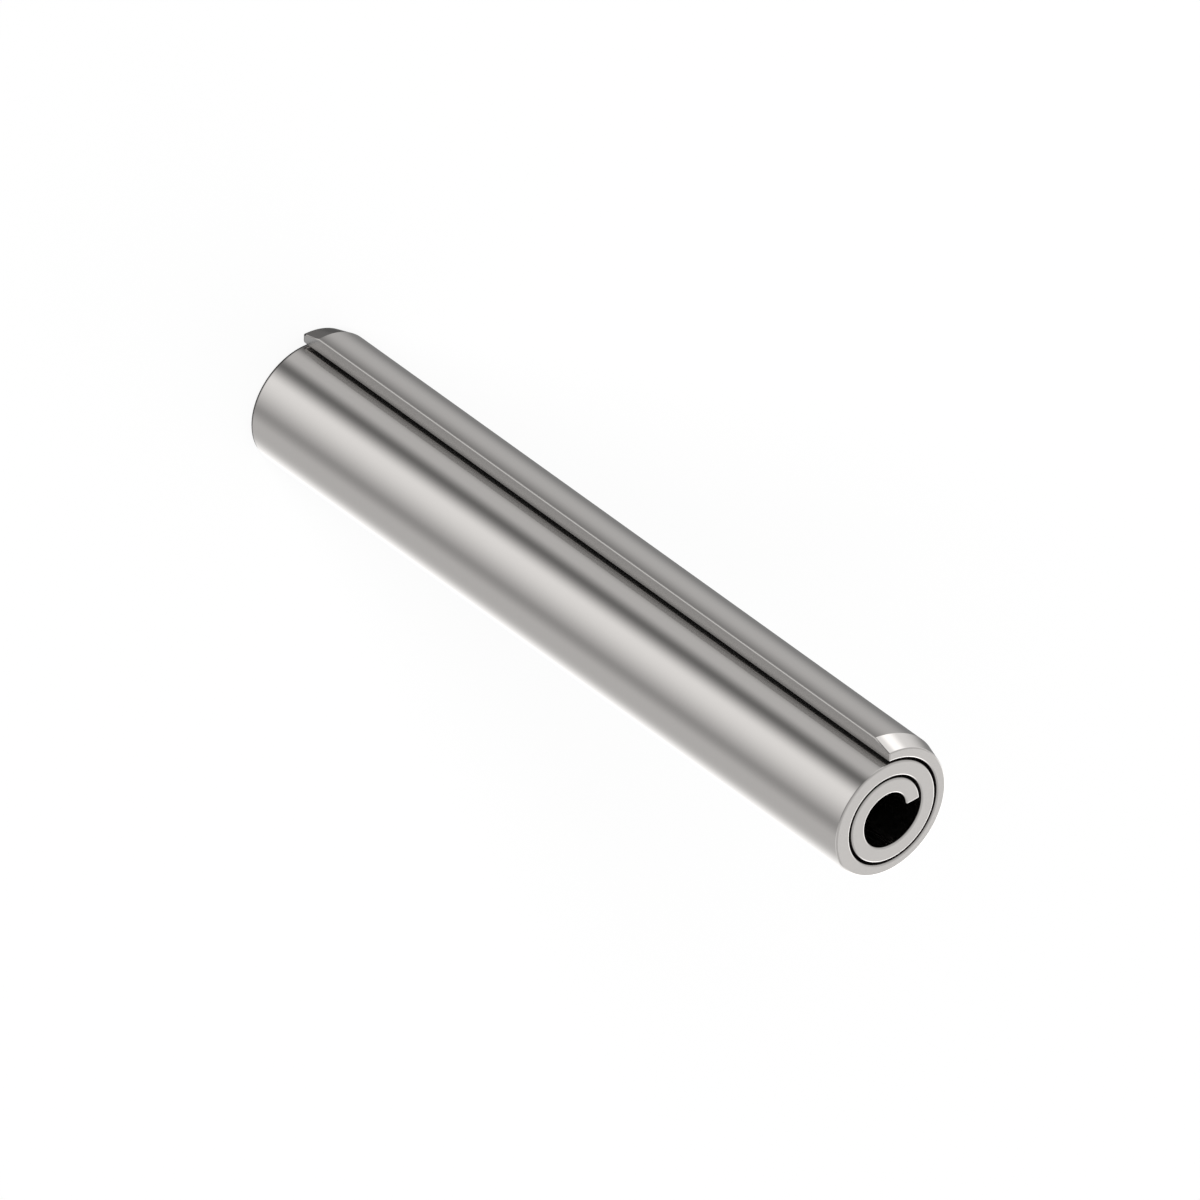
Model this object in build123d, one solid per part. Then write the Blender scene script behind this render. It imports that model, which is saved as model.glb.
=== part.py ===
"""Spring roll pin of the coiled kind: one strip of spring steel rolled up like a scroll.

The pin stands on one end. Z is its axis, and the origin is on the bottom end.
X points at the strip's outer edge, which shows as a step along the whole outside.
Seen from above, the strip winds clockwise and inwards from that edge.
"""
from build123d import *
import math
import os

# Driving sizes in millimetres
outside_diameter = 6.6    # across the coil through the outer edge, before the pin is driven in
pin_length = 38.1
strip_thickness = 0.71
coil_gap = 0.12           # space between one turn and the next, closed when the pin is squeezed
bore_diameter = 1.88      # hole left inside the last turn, where the inner edge stands
chamfer_depth = 0.28      # how far the ends taper in from the outside, measured on the radius
chamfer_length = 0.98     # how far up the outside that taper reaches
edge_break = 0.04         # small bevel that takes the burr off every sheared edge

# Sizes that follow from them
pitch = strip_thickness + coil_gap
centre_shift = pitch / 4
outside_radius = outside_diameter / 2
first_radius = outside_radius + centre_shift / 2
pole_x = -centre_shift
edge_reach = outside_radius - pole_x
turns = (edge_reach - strip_thickness - bore_diameter / 2) / pitch
tip_radius = outside_radius - chamfer_depth


def quarter_centre(quarter):
    """Centre of one quarter turn: the corners of a small square round the pole, taken in order."""
    angle = math.radians(45 - 90 * quarter)
    half_diagonal = centre_shift / math.sqrt(2)
    return (pole_x + half_diagonal * math.cos(angle), half_diagonal * math.sin(angle))


def quarter_sweeps():
    """Degrees that each arc turns through: full quarters, and what is left of the last one."""
    total = 360 * turns
    whole = math.floor(total / 90)
    rest = total - 90 * whole
    return [90] * whole + ([rest] if rest > 1 else [])


def wall(inset):
    """One side of the rolled strip, as arcs that shrink by a quarter of the pitch at each quarter turn."""
    arcs = []
    for quarter, sweep in enumerate(quarter_sweeps()):
        radius = first_radius - inset - centre_shift * quarter
        arcs.append(CenterArc(quarter_centre(quarter), radius, -90 * quarter, -sweep))
    return arcs


def strip_section():
    """The rolled strip cut across: two parallel walls closed by the two sheared edges."""
    outer = wall(0)
    inner = wall(strip_thickness)
    outer_edge = Line(outer[0] @ 0, inner[0] @ 0)
    inner_edge = Line(outer[-1] @ 1, inner[-1] @ 1)
    face = make_face(outer + inner + [outer_edge, inner_edge])
    sheared = face.edges().filter_by(GeomType.LINE)
    return chamfer(sheared.vertices(), edge_break)


def rolled_strip():
    """The full length of the coil, with the burr taken off both ends."""
    coil = extrude(strip_section(), amount=pin_length)
    ends = coil.faces().filter_by(Axis.Z)
    return chamfer(ends.edges(), edge_break)


def taper(end_radius, slope):
    """What a cone cut round each end leaves, both ends alike."""
    cone = Cone(end_radius, end_radius + slope * pin_length, pin_length,
                align=(Align.CENTER, Align.CENTER, Align.MIN))
    turned = Pos(0, 0, pin_length) * Rot(180, 0, 0) * cone
    return cone & turned


def spring_pin():
    """The coil with its lead-in chamfers, and the rim of each chamfer broken like the other edges."""
    lead_in = taper(tip_radius, chamfer_depth / chamfer_length)
    rim_break = taper(tip_radius - edge_break, 1)
    return rolled_strip() & lead_in & rim_break


os.makedirs("parts", exist_ok=True)
export_step(spring_pin(), "parts/spring_pin.step")
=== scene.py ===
"""Looks of the spring roll pin: one strip of spring steel rolled up like a scroll, standing on its end.

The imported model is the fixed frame. The pin is modelled again here as one closed mesh with rounded
sheared edges and turned end tapers, dressed in satin spring steel, and stood in a pale studio.
"""
import logging
import math
from dataclasses import dataclass, field
from enum import Enum
from typing import Iterator, Optional

import bpy
from mathutils import Matrix, Vector


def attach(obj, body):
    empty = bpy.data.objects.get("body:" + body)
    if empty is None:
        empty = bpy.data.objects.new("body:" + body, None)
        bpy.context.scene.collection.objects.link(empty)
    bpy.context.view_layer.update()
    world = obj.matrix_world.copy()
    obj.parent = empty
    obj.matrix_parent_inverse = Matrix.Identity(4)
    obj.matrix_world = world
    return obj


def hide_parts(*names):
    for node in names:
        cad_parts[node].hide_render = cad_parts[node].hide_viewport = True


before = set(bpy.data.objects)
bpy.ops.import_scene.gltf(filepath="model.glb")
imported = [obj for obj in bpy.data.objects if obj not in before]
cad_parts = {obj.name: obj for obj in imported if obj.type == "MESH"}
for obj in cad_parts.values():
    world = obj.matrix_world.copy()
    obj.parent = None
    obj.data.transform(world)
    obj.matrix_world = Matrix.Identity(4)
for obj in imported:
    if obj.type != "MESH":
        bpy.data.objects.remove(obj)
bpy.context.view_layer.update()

LOG = logging.getLogger("spring_pin")

MM = 0.001  # metres in a millimetre
MERGE_WITHIN = 0.0005  # millimetres between vertices that are one
SLIVER_UNDER = 0.0002  # millimetres along an edge that is dissolved
SAME_HEIGHT = 0.001  # millimetres between heights that are the same
ON_SURFACE = 0.003  # millimetres from a surface to the middle of a face that lies on it
SAME_WAY = 0.9995  # least cosine between the normals of a face and of the surface that it lies on
ROUND_SAME_WAY = 0.97  # the same for the coarser faces of a small round
LEVEL = 0.9999  # least height of a level face's normal
UPRIGHT = 0.002  # greatest height of an upright face's normal


# Modelling helpers


class Pick(Enum):
    """What edit mode picks, as flags for vertices, edges and faces."""

    VERTICES = (True, False, False)
    EDGES = (False, True, False)


def select_only(piece: bpy.types.Object) -> None:
    """Deselect everything, then select one piece and make it active.

    Args:
        piece: The object that the next operators act on.
    """
    bpy.ops.object.select_all(action="DESELECT")
    piece.select_set(True)
    bpy.context.view_layer.objects.active = piece


def edit_mode(piece: bpy.types.Object, pick: Pick) -> None:
    """Select one piece alone and enter edit mode on it.

    Args:
        piece: The object to edit.
        pick: What is picked in it.
    """
    select_only(piece)
    bpy.context.tool_settings.mesh_select_mode = pick.value
    bpy.ops.object.mode_set(mode="EDIT")


def object_mode() -> None:
    """Leave edit mode."""
    bpy.ops.object.mode_set(mode="OBJECT")


def pick_all() -> None:
    """Select the whole mesh, in edit mode."""
    bpy.ops.mesh.select_all(action="SELECT")


def merge_doubles() -> None:
    """Merge all vertices that lie on each other, in edit mode."""
    pick_all()
    bpy.ops.mesh.remove_doubles(threshold=MERGE_WITHIN)


def face_outwards() -> None:
    """Turn all faces of a closed mesh outwards, in edit mode."""
    pick_all()
    bpy.ops.mesh.normals_make_consistent(inside=False)


def clear_picks(mesh: bpy.types.Mesh) -> None:
    """Deselect every vertex, edge and face of a mesh.

    Args:
        mesh: The mesh, with its object in object mode.
    """
    for elements in (mesh.vertices, mesh.edges, mesh.polygons):
        elements.foreach_set("select", [False] * len(elements))


def add_plane(name: str, size: float = 1.0, **place: object) -> bpy.types.Object:
    """Add a square plane, with nothing else selected.

    Args:
        name: The new object's name.
        size: The plane's side.
        place: Its location and rotation, where they aren't zero.

    Returns:
        The plane.
    """
    bpy.ops.object.select_all(action="DESELECT")
    bpy.ops.mesh.primitive_plane_add(size=size, **place)
    plane = bpy.context.active_object
    plane.name = name
    return plane


def apply_place(piece: bpy.types.Object) -> None:
    """Put a piece's place, turn and scale into its mesh.

    Args:
        piece: The object, which ends at the origin, unturned and unscaled.
    """
    select_only(piece)
    bpy.ops.object.transform_apply(location=True, rotation=True, scale=True)


def apply_modifier(piece: bpy.types.Object, kind: str, **settings: object) -> None:
    """Add a modifier to a piece, set it up and apply it.

    Args:
        piece: The object that is changed.
        kind: The modifier's type name.
        settings: Values for the modifier's own properties.
    """
    select_only(piece)
    modifier = piece.modifiers.new(name=kind.lower(), type=kind)
    for name, value in settings.items():
        setattr(modifier, name, value)
    bpy.ops.object.modifier_apply(modifier=modifier.name)


# Shader helpers


class Socket(Enum):
    """The kinds of socket that the node groups have."""

    COLOUR = "NodeSocketColor"
    NUMBER = "NodeSocketFloat"
    VECTOR = "NodeSocketVector"


def new_group(name: str, inputs: dict[str, Socket], outputs: dict[str, Socket]) -> bpy.types.NodeTree:
    """Start a shader node group with named sockets.

    Args:
        name: The group's name.
        inputs: The kind of each input, by name.
        outputs: The kind of each output, by name.

    Returns:
        The group's node tree, with nothing in it yet.
    """
    tree = bpy.data.node_groups.new(name, "ShaderNodeTree")
    for side, sockets in (("INPUT", inputs), ("OUTPUT", outputs)):
        for socket_name, kind in sockets.items():
            tree.interface.new_socket(socket_name, in_out=side, socket_type=kind.value)
    return tree


@dataclass
class NodeDesk:
    """Adds nodes to one node tree and wires them as they are added."""

    tree: bpy.types.NodeTree

    @classmethod
    def cleared(cls, owner: bpy.types.ID) -> "NodeDesk":
        """Switch on the nodes of a material or world and start with none.

        Args:
            owner: The material or world.

        Returns:
            The desk for its node tree.
        """
        owner.use_nodes = True
        owner.node_tree.nodes.clear()
        return cls(owner.node_tree)

    def add(self, kind: str, inputs: Optional[dict[object, object]] = None,
            **settings: object) -> bpy.types.Node:
        """Add one node.

        Args:
            kind: The node's type name.
            inputs: Values or sockets for its inputs, by name or number.
            settings: Values for the node's own properties.

        Returns:
            The new node.
        """
        node = self.tree.nodes.new(kind)
        for name, value in settings.items():
            setattr(node, name, value)
        for key, value in (inputs or {}).items():
            if isinstance(value, bpy.types.NodeSocket):
                self.tree.links.new(value, node.inputs[key])
            else:
                node.inputs[key].default_value = value
        return node

    def math(self, operation: str, *values: object) -> bpy.types.NodeSocket:
        """Add one Math node.

        Args:
            operation: The sum to do.
            values: Its inputs, as sockets or numbers.

        Returns:
            The result's socket.
        """
        return self.add("ShaderNodeMath", dict(enumerate(values)), operation=operation).outputs[0]

    def product(self, vector: bpy.types.NodeSocket, other: bpy.types.NodeSocket) -> bpy.types.NodeSocket:
        """Return the socket of two vectors multiplied axis by axis."""
        inputs = {0: vector, 1: other}
        return self.add("ShaderNodeVectorMath", inputs, operation="MULTIPLY").outputs["Vector"]

    def scaled(self, vector: bpy.types.NodeSocket, factor: bpy.types.NodeSocket) -> bpy.types.NodeSocket:
        """Return the socket of a vector or colour times a number."""
        inputs = {0: vector, "Scale": factor}
        return self.add("ShaderNodeVectorMath", inputs, operation="SCALE").outputs["Vector"]

    def dot(self, vector: bpy.types.NodeSocket, other: bpy.types.NodeSocket) -> bpy.types.NodeSocket:
        """Return the socket of the dot product of two vectors."""
        inputs = {0: vector, 1: other}
        return self.add("ShaderNodeVectorMath", inputs, operation="DOT_PRODUCT").outputs["Value"]

    def height(self, vector: bpy.types.NodeSocket) -> bpy.types.NodeSocket:
        """Return the socket of a vector's Z."""
        return self.add("ShaderNodeSeparateXYZ", {0: vector}).outputs["Z"]

    def noise(self, place: bpy.types.NodeSocket, scale: float, detail: float,
              roughness: float) -> bpy.types.NodeSocket:
        """Add one noise pattern.

        Args:
            place: Where the pattern is looked up.
            scale: How fine it is.
            detail: How many finer layers it has.
            roughness: How strong these are.

        Returns:
            The pattern's socket.
        """
        inputs = {"Vector": place, "Scale": scale, "Detail": detail, "Roughness": roughness}
        return self.add("ShaderNodeTexNoise", inputs, noise_dimensions="3D").outputs[0]

    def ramp(self, value: bpy.types.NodeSocket, low: object, high: object,
             to_low: object = 0.0, to_high: object = 1.0) -> bpy.types.NodeSocket:
        """Ease a value from one level to another as it crosses a range.

        Args:
            value: The value that crosses the range.
            low: Where the range starts.
            high: Where the range ends.
            to_low: Level up to the start.
            to_high: Level past the end.

        Returns:
            The eased level's socket.
        """
        inputs = {"Value": value, "From Min": low, "From Max": high, "To Min": to_low, "To Max": to_high}
        node = self.add("ShaderNodeMapRange", inputs, interpolation_type="SMOOTHSTEP")
        return node.outputs["Result"]


# Finishes of the steel


class Surface(Enum):
    """The kinds of surface that making the pin leaves on the strip, numbered as its materials are."""

    ROLLED = 0
    CUT_END = 1
    TURNED = 2
    SHEARED = 3
    ROUNDED = 4


@dataclass(frozen=True)
class SteelFinish:
    """How one kind of surface of the spring steel looks.

    The grain is stretched noise on Object coordinates: its scale along each axis says which way it runs.
    The painted shade says how dark the colour is painted in a crevice, where shade falls, its power how
    far in it starts, and shade at foot how much of it is left where the pin stands. The painted foot shadow
    is how dark the narrow ring just above the floor is painted, as a contact shadow. Bump height is in
    metres.
    """

    name: str
    colour: tuple[float, float, float]
    roughness: float
    grain_scale: tuple[float, float, float]
    tone_change: float
    roughness_change: float
    bump_height: float
    painted_shade: float = 0.70
    shade_power: float = 0.42
    shade_at_foot: float = 1.0
    painted_foot_shadow: float = 0.0


STEEL = (0.665, 0.642, 0.623)

# Each finish sets how dark its painted crevice shade and its painted contact shadow at the foot are.
FINISHES: dict[Surface, SteelFinish] = {
    Surface.ROLLED: SteelFinish(
        name="rolled_spring_steel",
        colour=STEEL,
        roughness=0.12,
        grain_scale=(260.0, 260.0, 9000.0),
        tone_change=0.05,
        roughness_change=0.05,
        bump_height=0.0000004,
        shade_at_foot=0.6,
        painted_foot_shadow=0.6,
    ),
    Surface.CUT_END: SteelFinish(
        name="cut_end_steel",
        colour=STEEL,
        roughness=0.14,
        grain_scale=(5200.0, 5200.0, 5200.0),
        tone_change=0.05,
        roughness_change=0.06,
        bump_height=0.0000004,
    ),
    Surface.TURNED: SteelFinish(
        name="turned_taper_steel",
        colour=STEEL,
        roughness=0.11,
        grain_scale=(300.0, 300.0, 12000.0),
        tone_change=0.04,
        roughness_change=0.05,
        bump_height=0.0000003,
    ),
    Surface.SHEARED: SteelFinish(
        name="sheared_edge_steel",
        colour=(0.528, 0.521, 0.515),
        roughness=0.26,
        grain_scale=(2600.0, 2600.0, 700.0),
        tone_change=0.04,
        roughness_change=0.05,
        bump_height=0.0000003,
        painted_shade=0.5,
        shade_at_foot=0.35,
    ),
    Surface.ROUNDED: SteelFinish(
        name="worn_edge_steel",
        colour=STEEL,
        roughness=0.14,
        grain_scale=(1800.0, 1800.0, 1800.0),
        tone_change=0.04,
        roughness_change=0.04,
        bump_height=0.0000002,
        painted_shade=0.62,
        shade_power=1.6,
        shade_at_foot=0.35,
        painted_foot_shadow=0.9,
    ),
}


@dataclass
class SteelPaint:
    """Makes the materials of the spring steel, which share a grain effect and a painted shade effect.

    A crevice is told by how much of the sky a point sees within a short reach: the painted shade sets in
    below open_above and is full from shut_below down. The painted shade also roughens and dulls the steel a
    little. Lengths are in metres, as Object coordinates are.
    """

    streak_share: float = 0.65
    cloud_scale: float = 420.0
    crevice_reach: float = 0.00042
    crevice_samples: int = 8
    open_above: float = 0.93
    shut_below: float = 0.40
    foot_height: float = 0.0022
    ring_top: float = 0.00018
    ring_full: float = 0.00011
    shade_roughening: float = 0.12
    shade_dulling: float = 0.07
    grain: bpy.types.NodeTree = field(init=False)
    painted_shade: bpy.types.NodeTree = field(init=False)

    def __post_init__(self) -> None:
        """Build the shared effects once."""
        self.grain = self._grain_group()
        self.painted_shade = self._painted_shade_group()

    def _grain_group(self) -> bpy.types.NodeTree:
        """Build the grain effect: fine stretched noise, with broad faint clouding over it.

        Returns:
            The group, which puts out a colour, a roughness and a height that vary over the surface.
        """
        tree = new_group(
            "steel grain",
            inputs={"Colour": Socket.COLOUR, "Roughness": Socket.NUMBER, "Grain Scale": Socket.VECTOR,
                    "Tone Change": Socket.NUMBER, "Roughness Change": Socket.NUMBER},
            outputs={"Colour": Socket.COLOUR, "Roughness": Socket.NUMBER, "Height": Socket.NUMBER},
        )
        desk = NodeDesk(tree)
        given = desk.add("NodeGroupInput").outputs
        place = desk.add("ShaderNodeTexCoord").outputs["Object"]
        streaks = desk.noise(desk.product(place, given["Grain Scale"]), scale=1.0, detail=3.0, roughness=0.6)
        clouds = desk.noise(place, scale=self.cloud_scale, detail=2.0, roughness=0.5)
        blend = desk.math(
            "ADD",
            desk.math("MULTIPLY", streaks, self.streak_share),
            desk.math("MULTIPLY", clouds, 1.0 - self.streak_share),
        )
        swing = desk.math("SUBTRACT", blend, 0.5)
        tone = desk.math("ADD", desk.math("MULTIPLY", swing, given["Tone Change"]), 1.0)
        colour = desk.scaled(given["Colour"], tone)
        roughness_swing = desk.math("MULTIPLY", swing, given["Roughness Change"])
        roughness = desk.math("ADD", roughness_swing, given["Roughness"])
        desk.add("NodeGroupOutput", {"Colour": colour, "Roughness": roughness, "Height": streaks})
        return tree

    def _painted_shade_group(self) -> bpy.types.NodeTree:
        """Build the painted shade: colour darkened and dulled in crevices and in a painted contact shadow
        just above the floor.

        Returns:
            The group, which puts out a colour, a roughness and how metallic the surface is, which all vary.
        """
        tree = new_group(
            "painted crevice shade",
            inputs={"Colour": Socket.COLOUR, "Roughness": Socket.NUMBER, "Painted Shade": Socket.NUMBER,
                    "Power": Socket.NUMBER, "Foot Share": Socket.NUMBER, "Painted Foot Shadow": Socket.NUMBER},
            outputs={"Colour": Socket.COLOUR, "Roughness": Socket.NUMBER, "Metal": Socket.NUMBER},
        )
        desk = NodeDesk(tree)
        given = desk.add("NodeGroupInput").outputs
        # Painted shade: the less open sky a point sees nearby, the darker and duller its colour is painted.
        openness = desk.add(
            "ShaderNodeAmbientOcclusion",
            {"Distance": self.crevice_reach},
            samples=self.crevice_samples,
            only_local=True,
        ).outputs["AO"]
        closed = desk.add(
            "ShaderNodeMapRange",
            {"Value": openness, "From Min": self.open_above, "From Max": self.shut_below},
        ).outputs["Result"]
        height = desk.height(desk.add("ShaderNodeTexCoord").outputs["Object"])
        share = desk.ramp(height, 0.0, self.foot_height, given["Foot Share"], 1.0)
        crevice_shade_amount = desk.math("MULTIPLY", desk.math("POWER", closed, given["Power"]), given["Painted Shade"])
        # Painted contact shadow: a dark ring painted on the steel just above the floor.
        ring = desk.ramp(height, self.ring_top, self.ring_full, 0.0, given["Painted Foot Shadow"])
        shade_amount = desk.math("MAXIMUM", desk.math("MULTIPLY", crevice_shade_amount, share), ring)
        colour = desk.scaled(given["Colour"], desk.math("SUBTRACT", 1.0, shade_amount))
        roughening = desk.math("MULTIPLY", shade_amount, self.shade_roughening)
        roughness = desk.math("ADD", given["Roughness"], roughening)
        metal = desk.math("SUBTRACT", 1.0, desk.math("MULTIPLY", shade_amount, self.shade_dulling))
        desk.add("NodeGroupOutput", {"Colour": colour, "Roughness": roughness, "Metal": metal})
        return tree

    def material(self, finish: SteelFinish) -> bpy.types.Material:
        """Make one finish's material.

        Args:
            finish: The look to make.

        Returns:
            The material.
        """
        material = bpy.data.materials.new(finish.name)
        desk = NodeDesk.cleared(material)
        grain_values = {
            "Colour": (*finish.colour, 1.0),
            "Roughness": finish.roughness,
            "Grain Scale": finish.grain_scale,
            "Tone Change": finish.tone_change,
            "Roughness Change": finish.roughness_change,
        }
        grain = desk.add("ShaderNodeGroup", grain_values, node_tree=self.grain).outputs
        # Painted shade in crevices and a painted contact shadow ring at the foot darken the grain's colour.
        shade_values = {
            "Colour": grain["Colour"],
            "Roughness": grain["Roughness"],
            "Painted Shade": finish.painted_shade,
            "Power": finish.shade_power,
            "Foot Share": finish.shade_at_foot,
            "Painted Foot Shadow": finish.painted_foot_shadow,
        }
        painted_shade = desk.add("ShaderNodeGroup", shade_values, node_tree=self.painted_shade).outputs
        bump_values = {"Height": grain["Height"], "Distance": finish.bump_height, "Strength": 1.0}
        steel_values = {
            "Base Color": painted_shade["Colour"],
            "Roughness": painted_shade["Roughness"],
            "Metallic": painted_shade["Metal"],
            "Normal": desk.add("ShaderNodeBump", bump_values).outputs["Normal"],
        }
        steel = desk.add("ShaderNodeBsdfPrincipled", steel_values)
        desk.add("ShaderNodeOutputMaterial", {"Surface": steel.outputs["BSDF"]})
        return material


# The pin


@dataclass
class RolledPin:
    """The coil: a strip of steel rolled up in quarter arcs, with both ends turned to a taper.

    Sizes are in millimetres and follow the part. The strip starts at its outer edge, on the X axis, and
    each quarter turn clockwise has its centre on the next corner of a small square round the pole.

    The short last arc has steps of its own, and the lathe's facets start a fraction of a degree past the
    outer edge, so that no column beside a sheared edge is narrower than the round along it.
    """

    outside_diameter: float = 6.6
    length: float = 38.1
    thickness: float = 0.71
    gap: float = 0.12
    bore_diameter: float = 1.88
    taper_depth: float = 0.28
    taper_length: float = 0.98
    edge_round: float = 0.062
    end_round: float = 0.078
    foot_round: float = 0.125
    rim_round: float = 0.05
    round_steps: int = 4
    end_steps: int = 6
    quarter_steps: int = 36
    last_steps: int = 18
    lathe_steps: int = 180
    lathe_start: float = 0.5
    lathe_clearance: float = 0.2
    pole_x: float = field(init=False)
    shift: float = field(init=False)
    outer_radius: float = field(init=False)
    first_radius: float = field(init=False)
    tip_radius: float = field(init=False)
    taper_slope: float = field(init=False)
    turned_degrees: float = field(init=False)

    def __post_init__(self) -> None:
        """Work out the sizes that follow from the given ones."""
        pitch = self.thickness + self.gap
        self.shift = pitch / 4
        self.pole_x = -self.shift
        self.outer_radius = self.outside_diameter / 2
        self.first_radius = self.outer_radius + self.shift / 2
        self.tip_radius = self.outer_radius - self.taper_depth
        self.taper_slope = self.taper_depth / self.taper_length
        reach = self.outer_radius - self.pole_x - self.thickness - self.bore_diameter / 2
        self.turned_degrees = 360 * reach / pitch

    def quarters(self) -> Iterator[tuple[int, float]]:
        """Count the quarter turns, from the outer edge inwards, with the shorter arc that ends the strip.

        Yields:
            Each one's number and the degrees that it goes through.
        """
        whole = int(self.turned_degrees // 90)
        for quarter in range(whole):
            yield quarter, 90.0
        yield whole, self.turned_degrees - 90.0 * whole

    def quarter_centre(self, quarter: int) -> Vector:
        """Give the centre that one quarter turn is rolled about.

        Args:
            quarter: The quarter turn's number, from the outer edge inwards.

        Returns:
            Its place in the plane across the pin.
        """
        angle = math.radians(45 - 90 * quarter)
        reach = self.shift / math.sqrt(2)
        return Vector((self.pole_x + reach * math.cos(angle), reach * math.sin(angle), 0.0))

    def round_centres(self) -> list[Vector]:
        """Give the middles of the small rounds along the two sheared edges.

        Returns:
            Four places across the pin: outside and inside at the outer edge, then at the inner edge.
        """
        reach = self.edge_round
        quarter, degrees = list(self.quarters())[-1]
        centres = []
        for number, turned, facing in ((0, 0.0, 1.0), (quarter, 90.0 * quarter + degrees, -1.0)):
            angle = math.radians(-turned)
            out = Vector((math.cos(angle), math.sin(angle), 0.0))
            along = Vector((-math.sin(angle), math.cos(angle), 0.0)) * facing
            wall = self.first_radius - self.shift * number
            for radius, inward in ((wall, 1.0), (wall - self.thickness, -1.0)):
                corner = self.quarter_centre(number) + out * radius
                centres.append(corner - out * reach * inward - along * reach)
        return centres

    def build(self) -> bpy.types.Object:
        """Model the whole pin.

        Returns:
            The finished mesh object, in metres, with its place in its mesh.
        """
        coil = self._strip_edge()
        self._roll(coil)
        self._turn_ends(coil, self._lathe_envelope())
        self._round_sheared_edges(coil)
        self._close_up(coil)
        self._true_normals(coil)
        return coil

    def _strip_edge(self) -> bpy.types.Object:
        """Draw the strip's cut edge as a thin standing rectangle with rounded corners, as edges only.

        Returns:
            The object that is rolled up next.
        """
        middle = (self.outer_radius - self.thickness / 2, self.quarter_centre(0).y, self.length / 2)
        strip = add_plane("rolled_pin", location=middle, rotation=(math.pi / 2, 0.0, 0.0))
        apply_place(strip)
        edit_mode(strip, Pick.VERTICES)
        pick_all()
        bpy.ops.transform.resize(value=(self.thickness, 1.0, self.length), center_override=middle)
        for size, height in ((self.end_round, self.length), (self.foot_round, 0.0)):
            object_mode()
            clear_picks(strip.data)
            for vertex in strip.data.vertices:
                vertex.select = abs(vertex.co.z - height) < SAME_HEIGHT
            edit_mode(strip, Pick.VERTICES)
            bpy.ops.mesh.bevel(offset=size, segments=self.end_steps, affect="VERTICES")
        pick_all()
        bpy.ops.mesh.delete(type="ONLY_FACE")
        object_mode()
        return strip

    def _roll(self, strip: bpy.types.Object) -> None:
        """Roll the strip's edge up, one quarter turn after the other, and close both of its ends.

        Args:
            strip: The cut edge, which becomes the rolled strip.
        """
        edit_mode(strip, Pick.EDGES)
        pick_all()
        for quarter, degrees in self.quarters():
            bpy.ops.mesh.spin(
                steps=self.quarter_steps if degrees == 90.0 else self.last_steps,
                angle=math.radians(degrees),
                center=self.quarter_centre(quarter),
                axis=(0.0, 0.0, 1.0),
            )
        merge_doubles()
        bpy.ops.mesh.fill_holes(sides=0)
        face_outwards()
        object_mode()

    def _lathe_profile(self) -> list[tuple[float, float]]:
        """Give the lower half of the outline that the lathe leaves, from the axis outwards.

        Returns:
            Radius and height of each point.
        """
        slope_angle = math.atan2(1.0, self.taper_slope)
        arc_middle = self.tip_radius - self.rim_round
        arc_radius = self.rim_round / math.tan(slope_angle / 2)
        points = []
        for step in range(self.round_steps + 1):
            angle = slope_angle * step / self.round_steps
            height = arc_radius - arc_radius * math.cos(angle)
            points.append((arc_middle + arc_radius * math.sin(angle), height))
        first_rise = math.tan(slope_angle / self.round_steps / 2)
        beyond = self.outer_radius + self.lathe_clearance
        top = (beyond - self.tip_radius) / self.taper_slope
        return [(0.0, -points[0][0] * first_rise), *points, (beyond, top)]

    def _lathe_envelope(self) -> bpy.types.Object:
        """Turn the shape that the pin stays inside: a cylinder with a taper and a rounded rim at each end.

        Returns:
            The envelope, as a closed object.
        """
        lower = self._lathe_profile()
        profile = lower + [(radius, self.length - height) for radius, height in reversed(lower)]
        envelope = add_plane("lathe_envelope")
        edit_mode(envelope, Pick.VERTICES)
        pick_all()
        bpy.ops.mesh.merge(type="CENTER")
        bpy.ops.transform.translate(value=(0.0, 0.0, profile[0][1]))
        for (radius, height), (next_radius, next_height) in zip(profile, profile[1:]):
            step = (next_radius - radius, 0.0, next_height - height)
            bpy.ops.mesh.extrude_region_move(TRANSFORM_OT_translate={"value": step})
        pick_all()
        bpy.ops.mesh.spin(
            steps=self.lathe_steps,
            angle=2 * math.pi,
            center=(0.0, 0.0, 0.0),
            axis=(0.0, 0.0, 1.0),
        )
        merge_doubles()
        face_outwards()
        object_mode()
        envelope.rotation_euler.z = math.radians(self.lathe_start)
        apply_place(envelope)
        return envelope

    def _turn_ends(self, coil: bpy.types.Object, envelope: bpy.types.Object) -> None:
        """Cut the tapers round both ends, which run out where the strip already lies inside them.

        Args:
            coil: The rolled strip.
            envelope: The shape it is cut back to, which is used up.
        """
        apply_modifier(coil, "BOOLEAN", operation="INTERSECT", solver="EXACT", object=envelope)
        bpy.data.objects.remove(envelope)
        self._drop_slivers(coil)
        object_mode()

    def _round_sheared_edges(self, coil: bpy.types.Object) -> None:
        """Take the burr off all round the two sheared edges of the strip.

        Args:
            coil: The rolled and turned strip.
        """
        mesh = coil.data
        upright = [face for face in mesh.polygons if abs(face.normal.z) < UPRIGHT]
        sheared = sorted(upright, key=lambda face: face.area)[-2:]
        rims = {key for face in sheared for key in face.edge_keys}
        clear_picks(mesh)
        for edge in mesh.edges:
            edge.select = edge.key in rims
        edit_mode(coil, Pick.EDGES)
        bpy.ops.mesh.bevel(
            offset=self.edge_round,
            segments=self.round_steps,
            affect="EDGES",
            clamp_overlap=False,
        )
        object_mode()

    def _close_up(self, coil: bpy.types.Object) -> None:
        """Merge what the rounds left double, turn all faces outwards and bring the pin to metres.

        Args:
            coil: The turned and rounded coil.
        """
        self._drop_slivers(coil)
        face_outwards()
        object_mode()
        coil.scale = (MM, MM, MM)
        apply_place(coil)
        coil.data.update()

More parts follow.
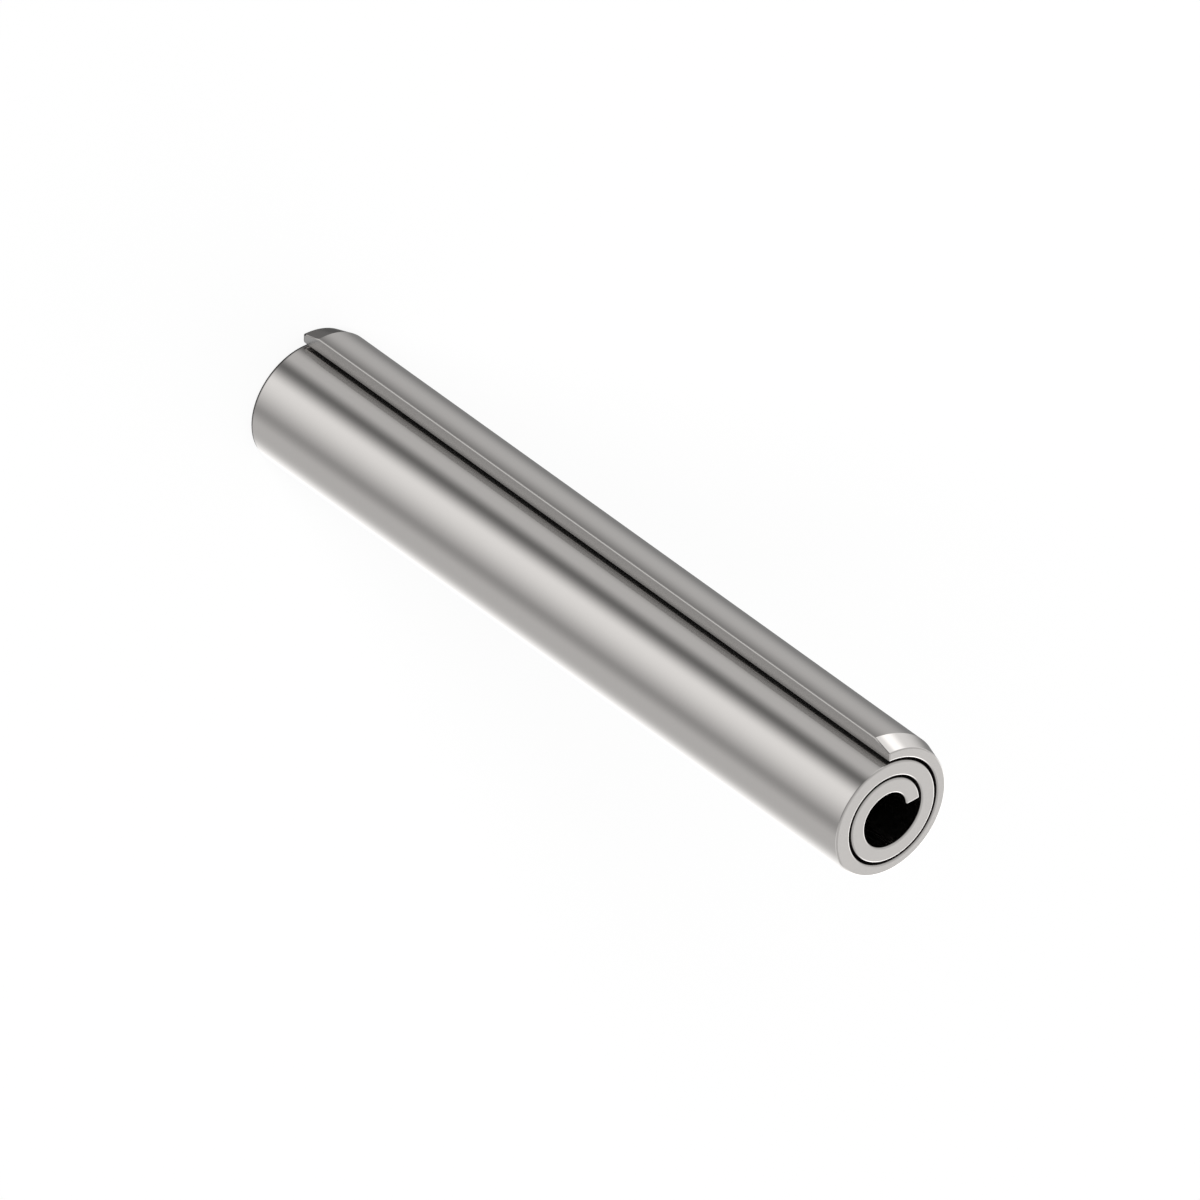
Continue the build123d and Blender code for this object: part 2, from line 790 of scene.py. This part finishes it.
    @staticmethod
    def _drop_slivers(coil: bpy.types.Object) -> None:
        """Enter edit mode, merge the coil's double vertices and dissolve its shortest edges.

        Args:
            coil: The coil, in millimetres.
        """
        edit_mode(coil, Pick.VERTICES)
        merge_doubles()
        bpy.ops.mesh.dissolve_degenerate(threshold=SLIVER_UNDER)

    def _taper_normal(self, place: Vector, side: float) -> Vector:
        """Give the way that a taper faces.

        Args:
            place: A place on it, in millimetres.
            side: Above zero for the upper taper, below it for the lower one.

        Returns:
            A unit vector.
        """
        rise = self.taper_slope * math.hypot(place.x, place.y)
        return Vector((place.x, place.y, math.copysign(rise, side))).normalized()

    def _surface_of(self, middle: Vector, normal: Vector) -> tuple[Surface, Optional[Vector]]:
        """Tell which kind of surface a face belongs to.

        Args:
            middle: The face's middle, in millimetres.
            normal: The way it faces.

        Returns:
            The kind, and the centre of the arc where the face is part of an upright round wall or edge.
        """
        from_end = min(middle.z, self.length - middle.z)
        if abs(normal.z) > LEVEL and from_end < SAME_HEIGHT:
            return Surface.CUT_END, None
        radius = math.hypot(middle.x, middle.y)
        on_taper = abs(radius - self.tip_radius - self.taper_slope * from_end) < ON_SURFACE
        if on_taper and self._taper_normal(middle, middle.z - self.length / 2).dot(normal) > SAME_WAY:
            return Surface.TURNED, None
        if abs(normal.z) > UPRIGHT:
            return Surface.ROUNDED, None
        for quarter, degrees in self.quarters():
            centre = self.quarter_centre(quarter)
            arm = (middle - centre) * Vector((1.0, 1.0, 0.0))
            swept = (-90.0 * quarter - math.degrees(math.atan2(arm.y, arm.x))) % 360.0
            past_wall = arm.length - self.first_radius + self.shift * quarter
            near_wall = min(abs(past_wall), abs(past_wall + self.thickness)) < ON_SURFACE
            if near_wall and swept <= degrees and abs(arm.normalized().dot(normal)) > SAME_WAY:
                return Surface.ROLLED, centre
        for centre in self.round_centres():
            arm = (middle - centre) * Vector((1.0, 1.0, 0.0))
            near_round = arm.length < self.edge_round + ON_SURFACE
            if near_round and arm.normalized().dot(normal) > ROUND_SAME_WAY:
                return Surface.ROUNDED, centre
        return Surface.SHEARED, None

    def _true_normal(self, kind: Surface, centre: Optional[Vector], place: Vector, normal: Vector) -> Vector:
        """Give the exact way that the real surface faces at one corner of a face.

        Args:
            kind: The face's kind of surface.
            centre: The centre of its arc, if it has one.
            place: The corner, in millimetres.
            normal: The way that the flat face looks.

        Returns:
            A unit vector.
        """
        if centre is not None:
            arm = (place - centre) * Vector((1.0, 1.0, 0.0))
            return arm.normalized() * math.copysign(1.0, arm.dot(normal))
        if kind is Surface.TURNED:
            return self._taper_normal(place, normal.z)
        return normal.copy()

    def _true_normals(self, coil: bpy.types.Object) -> None:
        """Sort the faces by kind of surface, and give every corner the normal of the true round surface.

        The small rounds at the ends have no arc of their own to go by. Their faces take the neighbouring
        surface's normal where they meet it, and the mean over the round elsewhere.

        Args:
            coil: The finished mesh.
        """
        mesh = coil.data
        select_only(coil)
        bpy.ops.object.shade_smooth()
        places = [vertex.co / MM for vertex in mesh.vertices]
        corner_normals = [Vector((0.0, 0.0, 1.0))] * len(mesh.loops)
        exact_at_vertex: dict[int, Vector] = {}
        mean_at_vertex: dict[int, Vector] = {}
        end_rounds = []
        counts = dict.fromkeys(Surface, 0)
        for face in mesh.polygons:
            kind, centre = self._surface_of(face.center / MM, face.normal)
            face.material_index = kind.value
            counts[kind] += 1
            is_end_round = kind is Surface.ROUNDED and centre is None
            if is_end_round:
                end_rounds.append(face)
            for corner, index in zip(face.loop_indices, face.vertices):
                if is_end_round:
                    total = mean_at_vertex.setdefault(index, Vector())
                    total += face.normal * (face.area / MM ** 2)
                else:
                    corner_normals[corner] = self._true_normal(kind, centre, places[index], face.normal)
                    total = exact_at_vertex.setdefault(index, Vector())
                    total += corner_normals[corner]
        for face in end_rounds:
            for corner, index in zip(face.loop_indices, face.vertices):
                corner_normals[corner] = exact_at_vertex.get(index, mean_at_vertex[index]).normalized()
        mesh.normals_split_custom_set(corner_normals)
        mesh.update()
        for kind, count in counts.items():
            LOG.info("%s: %d faces", kind.name, count)


# The studio


def sine(degrees: float) -> float:
    """Give the sine of an angle in degrees, which is the height of a direction at that elevation."""
    return math.sin(math.radians(degrees))


@dataclass(frozen=True)
class DomeStep:
    """One step of the dome's own light: between two elevations, in degrees, it eases to a level."""

    start: float
    end: float
    level: float


@dataclass(frozen=True)
class SoftBox:
    """A large soft light of the studio, as a patch of its dome.

    Angles are in degrees: azimuth is turned from the X axis towards Y, and elevation is above the horizon.
    The light is even within the core on either side of its azimuth, and eases out over the widths given
    for left and right. Upwards it eases in over the low pair of elevations and out over the high pair.
    A level below zero takes light away.
    """

    name: str
    azimuth: float
    core: float
    left: float
    right: float
    low: tuple[float, float]
    high: tuple[float, float]
    level: float

    def values(self) -> dict[str, object]:
        """Give what the soft box effect needs for this box.

        Returns:
            The value of each of its inputs, apart from the direction.
        """
        angle = math.radians(self.azimuth)
        return {
            "Facing": (math.cos(angle), math.sin(angle), 0.0),
            "Aside": (-math.sin(angle), math.cos(angle), 0.0),
            "Core": math.radians(self.core),
            "Left": math.radians(self.left),
            "Right": math.radians(self.right),
            "Low Start": sine(self.low[0]),
            "Low Full": sine(self.low[1]),
            "High Full": sine(self.high[0]),
            "High End": sine(self.high[1]),
            "Level": self.level,
        }


@dataclass
class Studio:
    """A pale floor under a dome of soft light, and one broad lamp."""

    dome: tuple[DomeStep, ...]
    boxes: tuple[SoftBox, ...]
    least_level: float = 0.10
    floor_size: float = 0.6
    floor_colour: tuple[float, float, float] = (0.94, 0.94, 0.94)
    floor_veil: float = 0.85
    lamp_strength: float = 2.2
    lamp_angle: float = 30.0
    lamp_height: float = 0.2

    @staticmethod
    def _box_group() -> bpy.types.NodeTree:
        """Build the effect of one soft box: how bright it is in a direction.

        Returns:
            The group.
        """
        vectors = ("Direction", "Facing", "Aside")
        numbers = ("Core", "Left", "Right", "Low Start", "Low Full", "High Full", "High End", "Level")
        tree = new_group(
            "soft box",
            inputs=dict.fromkeys(vectors, Socket.VECTOR) | dict.fromkeys(numbers, Socket.NUMBER),
            outputs={"Level": Socket.NUMBER},
        )
        desk = NodeDesk(tree)
        given = desk.add("NodeGroupInput").outputs
        ahead = desk.dot(given["Direction"], given["Facing"])
        across = desk.dot(given["Direction"], given["Aside"])
        turn = desk.math("ARCTAN2", across, ahead)
        is_left = desk.math("GREATER_THAN", turn, 0.0)
        width = desk.add("ShaderNodeMix", {0: is_left, 2: given["Right"], 3: given["Left"]}).outputs[0]
        past_core = desk.math("SUBTRACT", desk.math("ABSOLUTE", turn), given["Core"])
        across_level = desk.ramp(past_core, width, 0.0)
        height = desk.height(given["Direction"])
        rise = desk.ramp(height, given["Low Start"], given["Low Full"])
        fall = desk.ramp(height, given["High End"], given["High Full"])
        level = desk.math("MULTIPLY", desk.math("MULTIPLY", rise, fall), across_level)
        desk.add("NodeGroupOutput", {"Level": desk.math("MULTIPLY", level, given["Level"])})
        return tree

    def _dome_level(self, desk: NodeDesk, direction: bpy.types.NodeSocket) -> bpy.types.NodeSocket:
        """Add the dome's own light, which depends on elevation alone.

        Args:
            desk: The world's nodes.
            direction: The direction looked in.

        Returns:
            The level's socket.
        """
        height = desk.height(direction)
        level: object = self.dome[0].level
        for before, step in zip(self.dome, self.dome[1:]):
            change = desk.ramp(height, sine(step.start), sine(step.end), 0.0, step.level - before.level)
            level = desk.math("ADD", level, change)
        return level

    def light(self) -> None:
        """Make the world: the dome and its soft boxes, which show plain white to the camera."""
        world = bpy.data.worlds.new("studio_dome")
        bpy.context.scene.world = world
        desk = NodeDesk.cleared(world)
        direction = desk.add("ShaderNodeTexCoord").outputs["Generated"]
        total = self._dome_level(desk, direction)
        group = self._box_group()
        for box in self.boxes:
            node = desk.add("ShaderNodeGroup", {"Direction": direction} | box.values(), node_tree=group)
            total = desk.math("ADD", total, node.outputs["Level"])
        total = desk.math("MAXIMUM", total, self.least_level)
        white = (1.0, 1.0, 1.0, 1.0)
        dome = desk.add("ShaderNodeBackground", {"Color": white, "Strength": total})
        backdrop = desk.add("ShaderNodeBackground", {"Color": white, "Strength": 1.0})
        seen = desk.add("ShaderNodeLightPath").outputs["Is Camera Ray"]
        mix = desk.add("ShaderNodeMixShader", {0: seen, 1: dome.outputs[0], 2: backdrop.outputs[0]})
        desk.add("ShaderNodeOutputWorld", {"Surface": mix.outputs[0]})

    def lay_floor(self) -> bpy.types.Object:
        """Lay the pale floor that the pin stands on.

        Returns:
            The floor, which isn't part of the pin.
        """
        floor = add_plane("studio_floor", size=self.floor_size)
        material = bpy.data.materials.new("pale_floor")
        desk = NodeDesk.cleared(material)
        card = desk.add("ShaderNodeBsdfDiffuse", {"Color": (*self.floor_colour, 1.0)})
        veil = desk.add("ShaderNodeEmission", {"Color": (1.0, 1.0, 1.0, 1.0), "Strength": 1.0})
        camera_ray = desk.add("ShaderNodeLightPath").outputs["Is Camera Ray"]
        seen = desk.math("MULTIPLY", camera_ray, self.floor_veil)
        mix = desk.add("ShaderNodeMixShader", {0: seen, 1: card.outputs[0], 2: veil.outputs[0]})
        desk.add("ShaderNodeOutputMaterial", {"Surface": mix.outputs[0]})
        floor.data.materials.append(material)
        floor.visible_glossy = False
        return floor

    def hang_lamp(self, turn: Matrix) -> bpy.types.Object:
        """Hang the broad lamp, so far away that only its direction counts.

        Args:
            turn: The way the lamp is turned. It shines along its own -Z.

        Returns:
            The lamp.
        """
        bpy.ops.object.select_all(action="DESELECT")
        bpy.ops.object.light_add(type="SUN", location=(0.0, 0.0, self.lamp_height))
        lamp = bpy.context.active_object
        lamp.name = "broad_lamp"
        lamp.rotation_mode = "QUATERNION"
        lamp.rotation_quaternion = turn.to_quaternion()
        lamp.data.energy = self.lamp_strength
        lamp.data.angle = math.radians(self.lamp_angle)
        lamp.visible_glossy = False
        return lamp


DOME: tuple[DomeStep, ...] = (
    DomeStep(start=-90.0, end=-90.0, level=0.55),
    DomeStep(start=-80.0, end=-62.0, level=0.16),
    DomeStep(start=-60.0, end=-53.0, level=0.075),
    DomeStep(start=-46.0, end=-36.0, level=0.21),
    DomeStep(start=-31.0, end=-14.0, level=1.05),
    DomeStep(start=-10.0, end=6.0, level=0.62),
)

SOFT_BOXES: tuple[SoftBox, ...] = (
    SoftBox("low_right", azimuth=-113.0, core=0.0, left=39.5, right=25.0,
            low=(-46.0, -36.0), high=(-30.0, -13.0), level=0.07),
    SoftBox("low_front_left", azimuth=-70.5, core=2.5, left=33.0, right=39.5,
            low=(-66.0, -36.0), high=(-30.0, -13.0), level=0.39),
    SoftBox("low_front", azimuth=-11.0, core=5.0, left=21.5, right=22.0,
            low=(-46.0, -38.0), high=(-30.0, -13.0), level=0.46),
    SoftBox("main", azimuth=46.5, core=0.0, left=80.0, right=31.5,
            low=(-46.0, -38.0), high=(-30.0, -13.0), level=0.91),
    SoftBox("side", azimuth=129.5, core=0.0, left=40.0, right=31.0,
            low=(-46.0, -38.0), high=(-30.0, -13.0), level=0.43),
    SoftBox("back", azimuth=215.0, core=4.5, left=12.0, right=83.0,
            low=(-46.0, -38.0), high=(-30.0, -13.0), level=1.20),
    SoftBox("low_fill", azimuth=117.0, core=90.0, left=55.0, right=55.0,
            low=(-72.0, -60.0), high=(-50.0, -42.0), level=0.48),
    SoftBox("horizon_front", azimuth=-47.0, core=3.0, left=9.0, right=14.0,
            low=(-28.0, -14.0), high=(-6.0, 8.0), level=0.60),
    SoftBox("horizon_back", azimuth=-144.0, core=8.0, left=30.0, right=32.0,
            low=(-22.0, -8.0), high=(14.0, 43.0), level=2.40),
    SoftBox("horizon_flag", azimuth=45.0, core=30.0, left=40.0, right=22.0,
            low=(-35.0, -27.0), high=(-6.0, 10.0), level=-0.80),
    SoftBox("flag", azimuth=42.5, core=40.0, left=40.0, right=40.0,
            low=(-10.0, 5.0), high=(45.0, 65.0), level=-0.12),
)


@dataclass
class ProductCamera:
    """The orthographic camera: where it looks from, how it is rolled, and what is in the middle of its view.

    Lengths are in millimetres and angles in degrees. The middle of the view is given from the middle of
    the coil's top end, to the right and downwards as the camera sees it.
    """

    azimuth: float = 42.48
    elevation: float = 37.82
    roll: float = 125.633
    frame_width: float = 50.077
    end_centre: tuple[float, float, float] = (-0.2075, 0.0, 38.1)
    end_right: float = 12.080
    end_below: float = 9.015
    distance: float = 200.0
    clip_metres: tuple[float, float] = (0.001, 10.0)

    def turn(self) -> Matrix:
        """Give the way the camera is turned."""
        return (
            Matrix.Rotation(math.radians(self.azimuth + 90.0), 3, "Z")
            @ Matrix.Rotation(math.radians(90.0 - self.elevation), 3, "X")
            @ Matrix.Rotation(math.radians(self.roll), 3, "Z")
        )

    def place(self) -> bpy.types.Object:
        """Put the camera in the scene.

        Returns:
            The camera, which is the scene's camera.
        """
        turn = self.turn()
        right, up, back = turn.col[0], turn.col[1], turn.col[2]
        middle = Vector(self.end_centre) - right * self.end_right + up * self.end_below
        bpy.ops.object.select_all(action="DESELECT")
        bpy.ops.object.camera_add(location=(middle + back * self.distance) * MM)
        camera = bpy.context.active_object
        camera.name = "product_camera"
        camera.rotation_mode = "QUATERNION"
        camera.rotation_quaternion = turn.to_quaternion()
        camera.data.type = "ORTHO"
        camera.data.ortho_scale = self.frame_width * MM
        camera.data.clip_start, camera.data.clip_end = self.clip_metres
        bpy.context.scene.camera = camera
        return camera


def main() -> None:
    """Build the pin and its studio, and report each piece."""
    logging.basicConfig(level=logging.INFO, format="%(name)s: %(message)s")
    bpy.context.scene.view_settings.view_transform = "Standard"

    camera = ProductCamera()
    camera.place()
    studio = Studio(dome=DOME, boxes=SOFT_BOXES)
    studio.light()
    studio.lay_floor()
    studio.hang_lamp(camera.turn())
    LOG.info("studio: %d soft boxes, a floor and a broad lamp", len(studio.boxes))

    piece = RolledPin().build()
    paint = SteelPaint()
    for kind in Surface:
        piece.data.materials.append(paint.material(FINISHES[kind]))
    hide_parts("spring_pin")
    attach(piece, "root")
    LOG.info("rolled pin: %d faces in %d finishes", len(piece.data.polygons), len(FINISHES))


if __name__ == "__main__":
    main()
